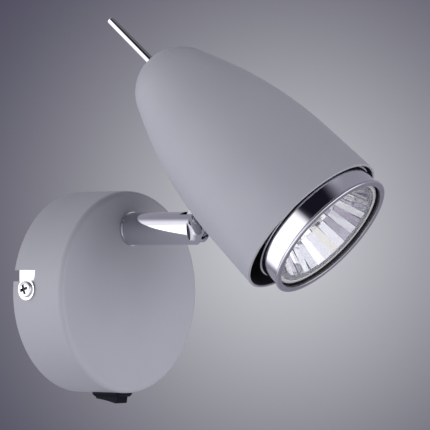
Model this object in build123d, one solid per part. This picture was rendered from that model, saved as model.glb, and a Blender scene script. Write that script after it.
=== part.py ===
from build123d import *
import math
import os

# Wall spotlight with a swivelling arm, a tilting bullet shade and a twist-lock reflector lamp.
# The wall is the plane Y = 0, the object stands out along -Y, and +Z is up.

# Wall cup
CUP_R = 40.0
CUP_DEPTH = 26.0
CUP_WALL = 1.0
CUP_EDGE_R = 2.2
NOTCH_W = 4.4
NOTCH_ENTRY_Y = 6.5
NOTCH_REACH = 10.9

# Wall bracket, sized to pass inside the cup
STRIP_GAP = 1.4
STRIP_HALF = CUP_R - CUP_WALL - STRIP_GAP
STRIP_W = 20.0
STRIP_T = 1.2
STRIP_BEND_R = 0.5
TAB_HEIGHT = 14.0
TAB_CORNER_R = 3.0
SLOT_INSET = 9.6
SLOT_SPACING = 2 * (STRIP_HALF - SLOT_INSET)
SLOT_LENGTH = 9.0
SLOT_R = 2.25
CABLE_HOLE_R = 5.5

# Screws that hold the cup
CUP_SCREW_R = 1.5
CUP_SCREW_Z = 7.5
CUP_SCREW_Y = 1.2
CUP_SCREW_HEAD_R = 3.3
CUP_SCREW_HEAD_H = 1.4
CUP_SCREW_LENGTH = 7.0
CUP_WASHER_R = 4.2
CUP_WASHER_T = 0.6

# Rocker switch
SWITCH_Z = 16.0
FLANGE_LONG = 14.4
FLANGE_WIDE = 9.0
FLANGE_OUT = 1.5
FLANGE_CORNER_R = 1.2
FLANGE_BEVEL = 0.9
BODY_LONG = 12.9
BODY_WIDE = 7.9
BODY_DEPTH = 13.0
CAVITY_LONG = 12.3
CAVITY_WIDE = 6.5
CAVITY_DEPTH = 5.0
HUB_DEPTH = 0.0
TRUNNION_R = 1.0
TRUNNION_L = 0.4
ROCKER_HALF = 5.6
ROCKER_WIDE = 6.2
ROCKER_TOP = 3.3
ROCKER_DIP = 0.2
ROCKER_THROW = 20.0
LUG_DEPTH = 4.0
LUG_W = 3.0
LUG_OUT = 0.5
BLADE_SPACING = 7.0
BLADE_LENGTH = 7.0
BLADE_W = 4.8
BLADE_T = 0.8

# Terminal block and earth point on the strip
BLOCK_HALF = 8.2
BLOCK_DEPTH = 15.0
BLOCK_H = 10.0
BLOCK_X = CABLE_HOLE_R + BLOCK_HALF + 0.8
BLOCK_SCREW_HEAD_R = 2.8
BLOCK_SCREW_HEAD_H = 1.9
POLE = 5.2
POLE_H = 4.2
INSERT_R = 2.2
INSERT_BORE = 1.3
INSERT_L = 13.0
GRUB_R = 1.1
GRUB_Y = 4.3
EARTH_R = 2.0
EARTH_WASHER_R = 4.2
EARTH_WASHER_T = 0.8
EARTH_X = -(CABLE_HOLE_R + EARTH_WASHER_R + 4.3)

# Arm
ARM_INSET = 15.0
ARM_RISE = CUP_R - ARM_INSET
ARM_R = 6.5
ARM_REACH = 32.5
ARM_TURN = 15.0
ROOT_WASHER_T = 1.0
ROOT_WASHER_R = 6.75
NIPPLE_R = 5.0
NIPPLE_BORE = 3.2
NIPPLE_TOP = 9.0
NIPPLE_TAIL = 8.5
PLAIN_WASHER_R = 9.0
PLAIN_WASHER_T = 1.0
SPRING_WASHER_R = 7.6
SPRING_WASHER_T = 1.4
ARM_NUT_ACROSS = 14.0
ARM_NUT_H = 3.6
FORK_SLOT = 4.2
FORK_DEPTH = 7.2
HINGE_PIN_R = 1.5

# Shade
SHADE_R = 31.9
SHADE_LENGTH = 94.0
SHADE_WALL = 1.0
FRONT_TAPER = 2.8
TAIL_TAPER = 21.7
TAIL_RUN = 43.5
TAPER_BACK = SHADE_LENGTH - TAIL_RUN
BLEND_R = 158.0
TAIL_PIN_R = 1.4
TAIL_PIN_LENGTH = 25.0
TAIL_STUD_R = 1.0

# Knuckle link and head placing
HEAD_TILT = 45.0
KNUCKLE_GAP = 11.1
AXIS_OFFSET = SHADE_R + KNUCKLE_GAP
HINGE_AHEAD = 8.0
HINGE_BACK = TAPER_BACK - HINGE_AHEAD
TONGUE_T = 3.5
TONGUE_R = 4.5
TONGUE_L = 9.6
FRICTION_T = 0.3
FRICTION_R = 4.2
COLLAR_R = 5.0
COLLAR_LOW = 8.2
STUD_R = 3.0
STUD_BORE = 1.8
SADDLE_R = 6.0
SADDLE_SINK = 6.3
LINK_NUT_ACROSS = 10.0
LINK_NUT_H = 3.0
RUN = 0.05

# Front ring, lamp and holder, placed from the centre of the round nose
LAMP_LEAN = 2.0
RING_PROUD = 9.07
RING_LIP_R = 27.8
RING_LIP_T = 1.2
RING_SLEEVE_R = 26.8
RING_BACK_R = 27.2
RING_WALL = 0.8
RING_FLARE = 1.4
RING_FLARE_SAG = 0.25
RING_APERTURE_R = 25.4
RING_LENGTH = 10.2
RING_HEM_R = 27.8
RING_HEM_T = 0.4
CLIP_GAP = 6.0
GLASS_RECESS = 2.0
GLASS_T = 1.2
GLASS_R = 23.4
LAMP_R = 25.0
LAMP_RIM_T = 3.0
LAMP_RIM_STEP = 1.4
GLASS_SEAT = 1.5
LAMP_LENGTH = 47.0
LAMP_BASE_R = 10.6
LAMP_BASE_H = 19.0
LAMP_BASE_FLAT = 8.6
LAMP_PIN_SPACING = 10.0
LAMP_PIN_R = 1.6
LAMP_PIN_HEAD_R = 2.4
LAMP_PIN_L = 7.0
FACET_COLUMNS = 36
BURNER_R = 4.2
BURNER_BORE = 3.2
BURNER_H = 19.0
HOLDER_R = 14.0
HOLDER_H = 18.0
HOLDER_FLAT = 9.0
HOLDER_SCREW_Y = 10.6
HOLDER_SCREW_R = 1.5
HOLDER_SINK = 6.0
POCKET_R = 2.8
CONTACT_R = 2.3
CONTACT_T = 1.0
STRAP_T = 1.0
STRAP_W = 11.0
EAR_Y = 13.4
LEG_Y = HOLDER_SCREW_Y - 2.6
STRAP_CLEARANCE = 0.71
SEAT_R = 5.5
SEAT_BORE = 1.9

# Frames: on the wall, at the arm's root, at the hinge, at the shade's mouth and at the round nose
WALL = Plane(origin=(0, 0, 0), x_dir=(1, 0, 0), z_dir=(0, -1, 0)).location
ARM = WALL * Pos(0, ARM_RISE, CUP_DEPTH) * Rot(0, 0, ARM_TURN)
HINGE = ARM * Pos(0, 0, ARM_REACH) * Rot(HEAD_TILT, 0, 0)
HEAD = HINGE * Pos(0, AXIS_OFFSET, HINGE_BACK)
front_a = math.radians(FRONT_TAPER)
tail_a = math.radians(TAIL_TAPER)
tail_corner_r = SHADE_R - TAPER_BACK * math.tan(front_a) - TAIL_RUN * math.tan(tail_a)
NOSE_R = tail_corner_r * math.cos(tail_a) / (1 - math.sin(tail_a))
NOSE_IN = NOSE_R - SHADE_WALL
LAMP = HEAD * Pos(0, 0, NOSE_R - SHADE_LENGTH) * Rot(-LAMP_LEAN, 0, 0)
RING_FRONT = SHADE_LENGTH - NOSE_R + RING_PROUD
GLASS_FRONT = RING_FRONT - GLASS_RECESS
HOLDER_TOP = GLASS_FRONT - LAMP_LENGTH
HOLDER_LOW = HOLDER_TOP - HOLDER_H
NECK = HOLDER_TOP + LAMP_BASE_H
strap_corner = math.hypot(LEG_Y, STRAP_W / 2) + STRAP_CLEARANCE
SEAT_TOP = -math.sqrt(NOSE_IN ** 2 - strap_corner ** 2)
SEAT_H = NOSE_IN + SEAT_TOP

nodes = {}


def keep(name, frame, *shapes):
    """Places the solids of one named piece in the world."""
    placed = []
    for shape in shapes:
        placed += [frame * solid for solid in shape.solids()]
    nodes[name] = placed


def cyl(radius, low, high, x=0.0, y=0.0):
    """A cylinder along Z between two heights."""
    return Pos(x, y, (low + high) / 2) * Cylinder(radius, high - low)


def tube(outer, inner, low, high, x=0.0, y=0.0):
    """A plain round washer or sleeve along Z."""
    return cyl(outer, low, high, x, y) - cyl(inner, low - 1, high + 1, x, y)


def block(x0, x1, y0, y1, z0, z1):
    """A box between two corners."""
    return Pos((x0 + x1) / 2, (y0 + y1) / 2, (z0 + z1) / 2) * Box(x1 - x0, y1 - y0, z1 - z0)


def turned(points):
    """A body of revolution about Z from points of radius and height."""
    outline = Polyline(*[(r, 0, z) for r, z in points], close=True)
    return revolve(make_face(outline), Axis.Z)


def hexagon(across, low, high, hole, x=0.0, y=0.0):
    """A hexagon nut along Z with slightly rounded-off corners."""
    corner = across / math.sqrt(3)
    nut = Pos(x, y, low) * extrude(RegularPolygon(corner, 6), high - low)
    trim = corner - 0.35
    crown = turned([
        (0, low), (trim, low), (corner, low + 0.4), (corner, high - 0.4), (trim, high), (0, high)])
    return (nut & (Pos(x, y, 0) * crown)) - cyl(hole, low - 1, high + 1, x, y)


def pan_screw(radius, head_r, head_h, length, recess):
    """A pan-head screw: the head's seat is at Z = 0, the shank runs down and the drive recess is a cross."""
    head = cyl(head_r, 0, head_h)
    head = fillet(head.edges().group_by(Axis.Z)[-1], head_h * 0.55)
    arm_w = head_r * 0.3
    cross = block(-head_r * 0.6, head_r * 0.6, -arm_w / 2, arm_w / 2, head_h - recess, head_h + 1)
    cross += block(-arm_w / 2, arm_w / 2, -head_r * 0.6, head_r * 0.6, head_h - recess, head_h + 1)
    shank = cyl(radius, -length, 0)
    shank = chamfer(shank.edges().group_by(Axis.Z)[0], radius * 0.25)
    return head - cross + shank


# Wall cup: a drawn shell with a rounded front edge, open at the back
def cup_shell(inset):
    radius = CUP_R - inset
    shell = cyl(radius, -1 if inset else 0, CUP_DEPTH - inset)
    return fillet(shell.edges().group_by(Axis.Z)[-1], CUP_EDGE_R - inset)


cup_outer = cup_shell(0)
cup = cup_outer - cup_shell(CUP_WALL)
cup -= cyl(NIPPLE_R + RUN, CUP_DEPTH - 5, CUP_DEPTH + 5, 0, ARM_RISE)
cut_x = BODY_WIDE / 2 + RUN
cut_z = BODY_LONG / 2 + RUN
cup -= block(-cut_x, cut_x, -CUP_R - 2, -CUP_R + 4, SWITCH_Z - cut_z, SWITCH_Z + cut_z)
half = NOTCH_W / 2
notch = block(-CUP_R - 3, -CUP_R + 4, NOTCH_ENTRY_Y - half, NOTCH_ENTRY_Y + half, -1, NOTCH_REACH)
notch += block(
    -CUP_R - 3, -CUP_R + 4, CUP_SCREW_Y, NOTCH_ENTRY_Y + half, CUP_SCREW_Z - half, CUP_SCREW_Z + half)
notch += Pos(-CUP_R, CUP_SCREW_Y, CUP_SCREW_Z) * Rot(0, 90, 0) * Cylinder(half, 8)
cup = cup - notch - Rot(0, 0, 180) * notch
keep("base_cup", WALL, cup)

# Wall bracket: a flat strip with both ends bent outward
inner_half = STRIP_HALF - STRIP_T
strip_side = make_face(Polyline(
    (-STRIP_HALF, 0, 0), (STRIP_HALF, 0, 0), (STRIP_HALF, 0, TAB_HEIGHT), (inner_half, 0, TAB_HEIGHT),
    (inner_half, 0, STRIP_T), (-inner_half, 0, STRIP_T), (-inner_half, 0, TAB_HEIGHT),
    (-STRIP_HALF, 0, TAB_HEIGHT), close=True))
bracket = extrude(strip_side, STRIP_W / 2, both=True)
bracket = fillet(bracket.edges().filter_by(Axis.Y).group_by(Axis.Z)[0], STRIP_T + STRIP_BEND_R)
inner_bends = bracket.edges().filter_by(Axis.Y).filter_by_position(Axis.Z, STRIP_T - 0.01, STRIP_T + 0.01)
bracket = fillet(inner_bends, STRIP_BEND_R)
bracket = fillet(bracket.edges().filter_by(Axis.X).group_by(Axis.Z)[-1], TAB_CORNER_R)
for side in (-1, 1):
    slot = extrude(SlotOverall(SLOT_LENGTH, SLOT_R * 2), 4, both=True)
    bracket -= Pos(side * SLOT_SPACING / 2, 0, 0) * slot
    tab_hole = Rot(0, 90, 0) * Cylinder(CUP_SCREW_R, 10)
    bracket -= Pos(side * STRIP_HALF, -side * CUP_SCREW_Y, CUP_SCREW_Z) * tab_hole
bracket -= cyl(CABLE_HOLE_R, -1, 4)
bracket -= cyl(EARTH_R, -1, 4, EARTH_X, 0)
bracket -= cyl(CUP_SCREW_R, -1, 4, BLOCK_X, 0)
keep("wall_bracket", WALL, bracket)

# Screws and washers at the two notches, seated on the cup's rim
cup_screw = pan_screw(CUP_SCREW_R, CUP_SCREW_HEAD_R, CUP_SCREW_HEAD_H, CUP_SCREW_LENGTH, 0.9)
cup_washer = tube(CUP_WASHER_R, CUP_SCREW_R, 0, CUP_WASHER_T)
to_left = Pos(-CUP_R - CUP_WASHER_T, CUP_SCREW_Y, CUP_SCREW_Z) * Rot(0, -90, 0)
to_right = Rot(0, 0, 180) * to_left
keep("cup_screws", WALL, to_left * cup_screw, to_right * cup_screw)
seat = Pos(0, 0, -CUP_WASHER_T)
keep("cup_washers", WALL, to_left * seat * cup_washer, to_right * seat * cup_washer)

# Rocker switch under the rim: local Z points down and out of the rim, local X away from the wall
SWITCH = WALL * Pos(0, 0, SWITCH_Z) * Rot(90, 0, 0) * Rot(0, 0, 90)
upright = Rot(90, 0, 0)
level = Rot(0, 90, 0)
rim_cylinder = level * Cylinder(CUP_R, CUP_DEPTH * 3)
rim_inside = level * Cylinder(CUP_R - CUP_WALL - RUN, CUP_DEPTH * 3)
half_long = FLANGE_LONG / 2
half_wide = FLANGE_WIDE / 2
flange = block(-half_long, half_long, -half_wide, half_wide, CUP_R - 3, CUP_R + FLANGE_OUT)
flange = fillet(flange.edges().filter_by(Axis.Z), FLANGE_CORNER_R)
flange = chamfer(flange.edges().group_by(Axis.Z)[-1], FLANGE_BEVEL)
flange -= rim_cylinder
body_low = CUP_R - BODY_DEPTH
hub = CUP_R - HUB_DEPTH
body_long = BODY_LONG / 2
body_wide = BODY_WIDE / 2
switch = flange + block(-body_long, body_long, -body_wide, body_wide, body_low, CUP_R + FLANGE_OUT / 3)
cavity_long = CAVITY_LONG / 2
cavity_wide = CAVITY_WIDE / 2
switch -= block(
    -cavity_long, cavity_long, -cavity_wide, cavity_wide, CUP_R - CAVITY_DEPTH, CUP_R + FLANGE_OUT + 3)
for side in (-1, 1):
    lug = Pos(side * body_long, 0, CUP_R - LUG_DEPTH) * Box(LUG_OUT * 2, LUG_W, LUG_DEPTH / 2)
    switch += lug - (rim_cylinder - rim_inside)
    pocket = Cylinder(TRUNNION_R + RUN, TRUNNION_L + 0.3)
    switch -= Pos(0, side * (cavity_wide + 0.25), hub) * upright * pocket
keep("switch_body", SWITCH, switch)
blade = block(-BLADE_T / 2, BLADE_T / 2, -BLADE_W / 2, BLADE_W / 2, body_low - BLADE_LENGTH, body_low)
blade -= Pos(0, 0, body_low - BLADE_LENGTH + BLADE_W / 2) * level * Cylinder(BLADE_T, 4)
keep("switch_terminals", SWITCH, *[Pos(side * BLADE_SPACING / 2, 0, 0) * blade for side in (-1, 1)])

# Rocker: a slightly hollowed key that turns on two short trunnions; its front end stands out at rest
tip = ROCKER_HALF - 0.5
foot = ROCKER_HALF * 0.53
shoulder = ROCKER_TOP - 0.3
rocker_line = Polyline(
    (tip, 0, ROCKER_TOP), (ROCKER_HALF, 0, shoulder), (ROCKER_HALF, 0, 0.6), (foot, 0, -2.6), (-foot, 0, -2.6),
    (-ROCKER_HALF, 0, 0.6), (-ROCKER_HALF, 0, shoulder), (-tip, 0, ROCKER_TOP))
hollow = ThreePointArc((-tip, 0, ROCKER_TOP), (0, 0, ROCKER_TOP - ROCKER_DIP), (tip, 0, ROCKER_TOP))
rocker = extrude(make_face(Curve() + [rocker_line, hollow]), ROCKER_WIDE / 2, both=True)
for side in (-1, 1):
    rocker += Pos(0, side * (ROCKER_WIDE / 2 + 0.15), 0) * upright * Cylinder(TRUNNION_R, TRUNNION_L + 0.1)
keep("switch_rocker", SWITCH * Pos(0, 0, hub) * Rot(0, -ROCKER_THROW / 2, 0), rocker)

# Two-pole terminal block on the strip, with its brass inserts and screws
block_top = STRIP_T + BLOCK_H
terminal_block = block(
    BLOCK_X - BLOCK_HALF, BLOCK_X + BLOCK_HALF, -BLOCK_DEPTH / 2, BLOCK_DEPTH / 2, STRIP_T, block_top)
terminal_block = fillet(terminal_block.edges().group_by(Axis.Z)[-1], 0.6)
block_seat = STRIP_T + BLOCK_H / 2
terminal_block -= cyl(CUP_SCREW_R + 0.1, 0, block_top + 9, BLOCK_X, 0)
terminal_block -= cyl(BLOCK_SCREW_HEAD_R + 0.3, block_seat, block_top + 9, BLOCK_X, 0)
inserts = []
pole_screws = []
pole_z = STRIP_T + POLE_H
for side in (-1, 1):
    pole_x = BLOCK_X + side * POLE
    pole = Pos(pole_x, 0, pole_z) * upright
    terminal_block -= pole * Cylinder(INSERT_R, BLOCK_DEPTH * 2)
    insert = pole * (Cylinder(INSERT_R, INSERT_L) - Cylinder(INSERT_BORE, INSERT_L * 2))
    for end in (-1, 1):
        screw_y = end * GRUB_Y
        terminal_block -= cyl(GRUB_R + 0.5, pole_z, block_top + 9, pole_x, screw_y)
        insert -= cyl(GRUB_R, pole_z, block_top + 9, pole_x, screw_y)
        grub = cyl(GRUB_R, pole_z + 0.7, block_top - 1.4, pole_x, screw_y)
        grub -= Pos(pole_x, screw_y, block_top - 1.4) * Box(3 * GRUB_R, 0.5, 1.0)
        pole_screws.append(grub)
    inserts.append(insert)
keep("terminal_block", WALL, terminal_block)
keep("terminal_inserts", WALL, *inserts)
keep("terminal_screws", WALL, *pole_screws)
block_screw = pan_screw(CUP_SCREW_R, BLOCK_SCREW_HEAD_R, BLOCK_SCREW_HEAD_H, BLOCK_H / 2 + 1.0, 1.0)
keep("block_screw", WALL, Pos(BLOCK_X, 0, block_seat) * block_screw)

# Earth point on the strip
earth_seat = STRIP_T + EARTH_WASHER_T
earth_screw = pan_screw(EARTH_R, EARTH_R * 1.8, EARTH_R * 1.2, earth_seat, EARTH_R * 0.65)
keep("earth_washer", WALL, tube(EARTH_WASHER_R, EARTH_R, STRIP_T, earth_seat, EARTH_X, 0))
keep("earth_screw", WALL, Pos(EARTH_X, 0, earth_seat) * earth_screw)

# Arm: a turned rod with a domed end, slotted for the tongue and bored for the leads
across = Pos(0, 0, ARM_REACH) * Rot(0, 90, 0)
arm_blank = cyl(ARM_R, ROOT_WASHER_T, ARM_REACH) + Pos(0, 0, ARM_REACH) * Sphere(ARM_R)
arm = arm_blank - across * Cylinder(FORK_DEPTH, FORK_SLOT)
arm -= block(-FORK_SLOT / 2, FORK_SLOT / 2, -3 * ARM_R, 3 * ARM_R, ARM_REACH, ARM_REACH + 3 * ARM_R)
arm -= cyl(NIPPLE_R, 0, NIPPLE_TOP) + cyl(NIPPLE_BORE, 0, ARM_REACH - FORK_DEPTH / 2)
arm -= across * Cylinder(HINGE_PIN_R, 4 * ARM_R)
arm = chamfer(arm.edges().filter_by(GeomType.CIRCLE).group_by(Axis.Z)[0].sort_by(SortBy.RADIUS)[-1], 0.35)
keep("arm", ARM, arm)
keep("hinge_pin", ARM, arm_blank & (across * Cylinder(HINGE_PIN_R, 4 * ARM_R)))
keep("arm_washer", ARM, tube(ROOT_WASHER_R, NIPPLE_R + RUN, 0, ROOT_WASHER_T))

# Hollow thread through the cup with its washers and nut
plain_low = -CUP_WALL - PLAIN_WASHER_T
spring_low = plain_low - SPRING_WASHER_T
keep("arm_nipple", ARM, tube(NIPPLE_R, NIPPLE_BORE, -CUP_WALL - NIPPLE_TAIL, NIPPLE_TOP))
keep("arm_plain_washer", ARM, tube(PLAIN_WASHER_R, NIPPLE_R + RUN, plain_low, -CUP_WALL))
keep("arm_spring_washer", ARM, tube(SPRING_WASHER_R, NIPPLE_R, spring_low, plain_low))
keep("arm_nut", ARM, hexagon(ARM_NUT_ACROSS, spring_low - ARM_NUT_H, spring_low, NIPPLE_R))

# Shade: a bullet shell of two cones, a long blend between them and a round nose
def shade_body(inset):
    mouth_r = SHADE_R - inset / math.cos(front_a)
    slope = math.tan(tail_a) - math.tan(front_a)
    back = TAPER_BACK - inset * (1 / math.cos(tail_a) - 1 / math.cos(front_a)) / slope
    corner_r = mouth_r - back * math.tan(front_a)
    nose = NOSE_R - inset
    centre = SHADE_LENGTH - NOSE_R
    touch = (nose * math.cos(tail_a), -centre - nose * math.sin(tail_a))
    flank = FilletPolyline((mouth_r, 0), (corner_r, -back), touch, radius=BLEND_R - inset)
    middle_a = (math.pi / 2 - tail_a) / 2
    middle = (nose * math.sin(middle_a), -centre - nose * math.cos(middle_a))
    cap = ThreePointArc(touch, middle, (0, -centre - nose))
    top = 1.0 if inset else 0.0
    start = mouth_r + top * math.tan(front_a)
    lead = [Line((0, top), (start, top))]
    if inset:
        lead.append(Line((start, top), (mouth_r, 0)))
    face = make_face(Curve() + lead + [flank, cap, Line((0, -centre - nose), (0, top))])
    return revolve(Plane.XZ * face, Axis.Z)


shade_solid = shade_body(0)
shade_space = shade_body(SHADE_WALL)
shade = shade_solid - shade_space
stud_axis = Pos(0, 0, -HINGE_BACK) * Rot(90, 0, 0)
shade -= stud_axis * cyl(STUD_R, 0, SHADE_R + 9)
shade -= cyl(TAIL_STUD_R, -SHADE_LENGTH - 3, -SHADE_LENGTH + 3)
keep("shade", HEAD, shade)

# Knuckle link: a tongue between the cheeks, a collar shaped to the shade and a hollow stud through its wall
saddle_top = KNUCKLE_GAP + SADDLE_SINK
seat_y = saddle_top - 1.4
stud_top = saddle_top + 2 * LINK_NUT_H + 0.1
along = Rot(-90, 0, 0)
sideways = Rot(0, 90, 0)
tongue = sideways * Cylinder(TONGUE_R, TONGUE_T)
tongue += block(-TONGUE_T / 2, TONGUE_T / 2, 0, TONGUE_L, -TONGUE_R, TONGUE_R)
collar = along * cyl(COLLAR_R, COLLAR_LOW, seat_y)
collar = chamfer(collar.edges().group_by(Axis.Y)[0], 0.6)
in_hinge = Pos(0, AXIS_OFFSET, HINGE_BACK)
link = tongue + collar - in_hinge * shade_solid
link += along * cyl(STUD_R, COLLAR_LOW + 0.8, stud_top)
link -= along * cyl(STUD_BORE, COLLAR_LOW + 2.2, stud_top + 9)
link -= Pos(0, COLLAR_LOW + 3.0, -4) * Cylinder(STUD_BORE * 0.8, 8)
link -= sideways * Cylinder(HINGE_PIN_R + RUN, TONGUE_T * 4)
keep("link", HINGE, link)
shim = tube(FRICTION_R, HINGE_PIN_R + RUN, 0, FRICTION_T)
left_shim = sideways * Pos(0, 0, TONGUE_T / 2) * shim
right_shim = Rot(0, -90, 0) * Pos(0, 0, TONGUE_T / 2) * shim
keep("friction_washers", HINGE, left_shim, right_shim)
saddle = along * tube(SADDLE_R, STUD_R, seat_y - 5, saddle_top)
keep("link_washer", HINGE, saddle & (in_hinge * shade_space))
keep("link_nut", HINGE, along * hexagon(LINK_NUT_ACROSS, saddle_top, saddle_top + LINK_NUT_H, STUD_R))

# Tail pin, with its shoulder on the nose and its thinner end through it
pin = cyl(TAIL_PIN_R, -SHADE_LENGTH - TAIL_PIN_LENGTH, -SHADE_LENGTH + 2)
pin = chamfer(pin.edges().group_by(Axis.Z)[0], 0.3)
tail_stud_top = -SHADE_LENGTH + SHADE_WALL + SEAT_H + STRAP_T + 2.6
pin = pin - shade_solid + cyl(TAIL_STUD_R, -SHADE_LENGTH - 2, tail_stud_top)
keep("tail_pin", HEAD, pin)

# Round-bottomed seat in the nose, the strap on it and the nut
seat_disc = cyl(SEAT_R, -NOSE_IN - 1, SEAT_TOP) & Sphere(NOSE_IN)
keep("tail_seat", LAMP, seat_disc - cyl(SEAT_BORE, -2 * NOSE_R, 0))
strap_half = Polyline(
    (0, SEAT_TOP), (LEG_Y, SEAT_TOP), (LEG_Y, HOLDER_LOW - STRAP_T), (EAR_Y, HOLDER_LOW - STRAP_T),
    (EAR_Y, HOLDER_LOW), (LEG_Y - STRAP_T, HOLDER_LOW), (LEG_Y - STRAP_T, SEAT_TOP + STRAP_T),
    (0, SEAT_TOP + STRAP_T), close=True)
strap = extrude(Plane.YZ * make_face(strap_half), STRAP_W / 2, both=True)
strap += mirror(strap, Plane.XZ)
strap -= cyl(SEAT_BORE, -2 * NOSE_R, SEAT_TOP + 2)
for side in (-1, 1):
    strap -= cyl(HOLDER_SCREW_R, HOLDER_LOW - 3, HOLDER_LOW + 1, 0, side * HOLDER_SCREW_Y)
keep("holder_bracket", LAMP, strap)
nut_low = SEAT_TOP + STRAP_T
nut_h = 1.6
nut_shift = -(nut_low + nut_h / 2) * math.tan(math.radians(LAMP_LEAN))
tail_nut = hexagon(4.6 * TAIL_STUD_R, nut_low, nut_low + nut_h, TAIL_STUD_R + RUN, 0, nut_shift)
keep("tail_nut", LAMP, tail_nut)

# Ceramic lampholder with two pin pockets, spring contacts and two fixing screws with nuts
holder = cyl(HOLDER_R, HOLDER_LOW, HOLDER_TOP)
holder = fillet(holder.edges(), 0.8)
pin_end = HOLDER_TOP - LAMP_PIN_L
screw_seat = HOLDER_TOP - HOLDER_SINK
contacts = []
lamp_pins = []
for side in (-1, 1):
    flat_x = side * (HOLDER_FLAT + HOLDER_R / 2)
    holder -= Pos(flat_x, 0, (HOLDER_LOW + HOLDER_TOP) / 2) * Box(HOLDER_R, 3 * HOLDER_R, HOLDER_H + 2)
    pin_x = side * LAMP_PIN_SPACING / 2
    screw_y = side * HOLDER_SCREW_Y
    holder -= cyl(POCKET_R, pin_end - CONTACT_T, HOLDER_TOP + 1, pin_x, 0)
    holder -= cyl(HOLDER_SCREW_R, HOLDER_LOW - 1, HOLDER_TOP + 1, 0, screw_y)
    holder -= cyl(HOLDER_SCREW_R * 2, screw_seat, HOLDER_TOP + 1, 0, screw_y)
    contacts.append(cyl(CONTACT_R, pin_end - CONTACT_T, pin_end, pin_x, 0))
    pin_head = cyl(LAMP_PIN_HEAD_R, pin_end, pin_end + LAMP_PIN_L / 2, pin_x, 0)
    lamp_pins.append(pin_head + cyl(LAMP_PIN_R, pin_end + LAMP_PIN_L / 3, HOLDER_TOP, pin_x, 0))
keep("lampholder", LAMP, holder)
keep("holder_contacts", LAMP, *contacts)
holder_screw = pan_screw(HOLDER_SCREW_R, HOLDER_SCREW_R * 1.83, 1.9, HOLDER_H - HOLDER_SINK + 4.6, 1.0)
keep("holder_screws", LAMP, *[Pos(0, side * HOLDER_SCREW_Y, screw_seat) * holder_screw for side in (-1, 1)])
nut_top = HOLDER_LOW - STRAP_T
nut_across = HOLDER_SCREW_R * 3.2
small_nuts = [
    hexagon(nut_across, nut_top - 2.2, nut_top, HOLDER_SCREW_R, 0, side * HOLDER_SCREW_Y) for side in (-1, 1)]
keep("holder_nuts", LAMP, *small_nuts)

# Reflector lamp: ceramic two-pin end, faceted glass reflector, burner, filament and front glass
lamp_base = cyl(LAMP_BASE_R, HOLDER_TOP, NECK)
lamp_base = fillet(lamp_base.edges().group_by(Axis.Z)[0], 1.2)
for side in (-1, 1):
    flat_x = side * (LAMP_BASE_FLAT + LAMP_BASE_R / 2)
    flat = Box(LAMP_BASE_R, 3 * LAMP_BASE_R, LAMP_BASE_H)
    lamp_base -= Pos(flat_x, 0, NECK - 4 - LAMP_BASE_H / 2) * flat
keep("lamp_base", LAMP, lamp_base)
keep("lamp_pins", LAMP, *lamp_pins)
bowl_h = GLASS_FRONT - NECK
bowl_outside = [(0.536, 0.114), (0.688, 0.307), (0.816, 0.536), (0.904, 0.768)]
rim_low = GLASS_FRONT - LAMP_RIM_T
bowl = turned(
    [(0, NECK), (LAMP_BASE_R, NECK)] + [(LAMP_R * r, NECK + bowl_h * z) for r, z in bowl_outside]
    + [(LAMP_R - LAMP_RIM_STEP, rim_low), (LAMP_R, rim_low), (LAMP_R, GLASS_FRONT), (0, GLASS_FRONT)])
bowl -= cyl(GLASS_R, GLASS_FRONT - GLASS_T, GLASS_FRONT + 1)
facet_rows = [(0.264, 0.118), (0.48, 0.311), (0.704, 0.632)]
rows = [(LAMP_R * r, NECK + bowl_h * z) for r, z in facet_rows]
rows.append((GLASS_R - GLASS_SEAT, GLASS_FRONT - GLASS_T))
bowl -= loft([Pos(0, 0, z) * RegularPolygon(r, FACET_COLUMNS) for r, z in rows], ruled=True)
keep("lamp_reflector", LAMP, bowl)
keep("lamp_front_glass", LAMP, cyl(GLASS_R, GLASS_FRONT - GLASS_T, GLASS_FRONT))
burner_low = rows[0][1]
burner_top = burner_low + BURNER_H
burner = turned([
    (0, burner_low), (BURNER_R, burner_low), (BURNER_R, burner_top - 4), (BURNER_R - 0.6, burner_top - 2),
    (BURNER_R / 2, burner_top - 0.6), (0, burner_top)])
burner -= cyl(BURNER_BORE, burner_low + 3.0, burner_top - 4.0)
keep("lamp_capsule", LAMP, burner)
coil_z = (burner_low + burner_top) / 2 - 0.5
filament = cyl(0.45, burner_low + 3.0, burner_top - 4.0)
filament += Pos(0, 0, coil_z - 0.7) * Torus(1.0, 0.3) + Pos(0, 0, coil_z + 0.7) * Torus(1.0, 0.3)
filament += Pos(0, 0, coil_z) * Box(2.0, 0.5, 2.0)
keep("lamp_filament", LAMP, filament)

# Front ring: thin sleeve that flares into a flat-faced lip, with a rolled hem at the back
ring_back = RING_FRONT - RING_LENGTH
sleeve_in = RING_SLEEVE_R - RING_WALL
back_in = RING_BACK_R - RING_WALL
lip_back = RING_FRONT - RING_LIP_T
hem_top = ring_back + RING_HEM_T
ring_line = Polyline(
    (RING_BACK_R, hem_top), (RING_HEM_R, hem_top), (RING_HEM_R, ring_back), (back_in, ring_back),
    (sleeve_in, lip_back), (RING_APERTURE_R, lip_back), (RING_APERTURE_R, RING_FRONT),
    (RING_LIP_R, RING_FRONT), (RING_LIP_R, lip_back))
flare = SagittaArc((RING_LIP_R, lip_back), (RING_SLEEVE_R, lip_back - RING_FLARE), -RING_FLARE_SAG)
ring_wall = Line((RING_SLEEVE_R, lip_back - RING_FLARE), (RING_BACK_R, hem_top))
ring = revolve(Plane.XZ * make_face(Curve() + [ring_line, flare, ring_wall]), Axis.Z)
face_edges = ring.edges().filter_by(GeomType.CIRCLE).group_by(Axis.Z)[-1]
ring = fillet(face_edges.sort_by(SortBy.RADIUS)[-1], RING_LIP_T * 0.35)
keep("front_ring", LAMP, ring)
clip_z = GLASS_FRONT - LAMP_RIM_T / 2
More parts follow.
